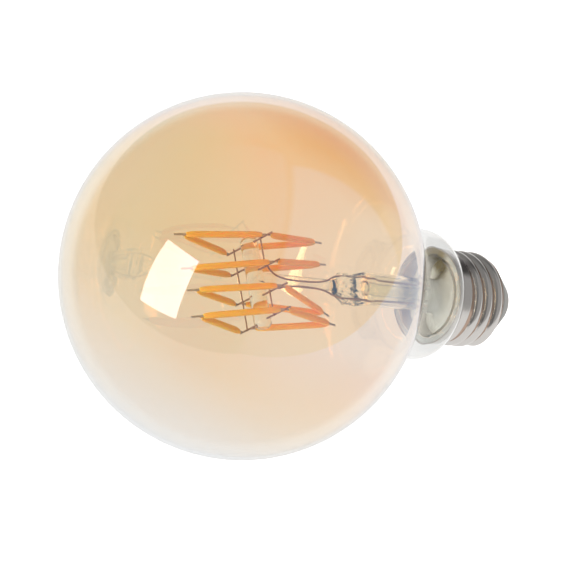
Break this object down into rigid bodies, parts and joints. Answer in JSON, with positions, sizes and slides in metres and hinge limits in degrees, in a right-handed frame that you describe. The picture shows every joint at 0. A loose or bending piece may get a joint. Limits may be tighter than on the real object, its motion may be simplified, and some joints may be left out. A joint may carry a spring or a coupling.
{
  "type": "globe bulb",
  "caption": "Large clear amber globe bulb with rows of orange LED filaments on a glass stem and a 27 mm screw cap.",
  "frame": {"origin": "centre of the flat end of the centre contact, on the bulb's axis", "axes": "+Z along the bulb's axis from the contact to the crown of the globe, +X across the filament rows, -Y the near side of the cage"},
  "size_m": [0.095, 0.095, 0.138],
  "materials": {
    "amber_glass": "clear, amber lustre",
    "clear_glass": "clear",
    "nickel_plate": "satin",
    "nickel_wire": "dull",
    "carrier_strip": "satin",
    "phosphor_silicone": "matte",
    "insulator": "matte",
    "contact_metal": "satin",
    "cement": "matte",
    "board": "matte",
    "capacitor": "satin",
    "rectifier": "matte",
    "fuse": "satin",
    "feed_wire": "satin"
  },
  "bodies": {
    "root": {"arbor": "clear_glass", "basing_cement": "cement", "bridge_rectifier": "rectifier", "bus_far": "nickel_wire", "bus_near_lower": "nickel_wire", "bus_near_upper": "nickel_wire", "cap_insulator": "insulator", "centre_contact": "contact_metal", "cross_far_1": "nickel_wire", "cross_far_2": "nickel_wire", "cross_far_3": "nickel_wire", "cross_far_4": "nickel_wire", "cross_near_1": "nickel_wire", "cross_near_2": "nickel_wire", "cross_near_3": "nickel_wire", "cross_near_4": "nickel_wire", "driver_board": "board", "exhaust_tube": "clear_glass", "fuse_resistor": "fuse", "glass_globe": "amber_glass", "lead_lower": "nickel_wire", "lead_upper": "nickel_wire", "live_wire": "feed_wire", "neutral_wire": "feed_wire", "phosphor_far_cap_1": "phosphor_silicone", "phosphor_far_cap_2": "phosphor_silicone", "phosphor_far_cap_3": "phosphor_silicone", "phosphor_far_cap_4": "phosphor_silicone", "phosphor_far_crown_1": "phosphor_silicone", "phosphor_far_crown_2": "phosphor_silicone", "phosphor_far_crown_3": "phosphor_silicone", "phosphor_far_crown_4": "phosphor_silicone", "phosphor_near_cap_1": "phosphor_silicone", "phosphor_near_cap_2": "phosphor_silicone", "phosphor_near_cap_3": "phosphor_silicone", "phosphor_near_cap_4": "phosphor_silicone", "phosphor_near_crown_1": "phosphor_silicone", "phosphor_near_crown_2": "phosphor_silicone", "phosphor_near_crown_3": "phosphor_silicone", "phosphor_near_crown_4": "phosphor_silicone", "screw_shell": "nickel_plate", "smoothing_capacitor": "capacitor", "stem_flare": "clear_glass", "strip_far_cap_1": "carrier_strip", "strip_far_cap_2": "carrier_strip", "strip_far_cap_3": "carrier_strip", "strip_far_cap_4": "carrier_strip", "strip_far_crown_1": "carrier_strip", "strip_far_crown_2": "carrier_strip", "strip_far_crown_3": "carrier_strip", "strip_far_crown_4": "carrier_strip", "strip_near_cap_1": "carrier_strip", "strip_near_cap_2": "carrier_strip", "strip_near_cap_3": "carrier_strip", "strip_near_cap_4": "carrier_strip", "strip_near_crown_1": "carrier_strip", "strip_near_crown_2": "carrier_strip", "strip_near_crown_3": "carrier_strip", "strip_near_crown_4": "carrier_strip"}
  },
  "joints": []
}
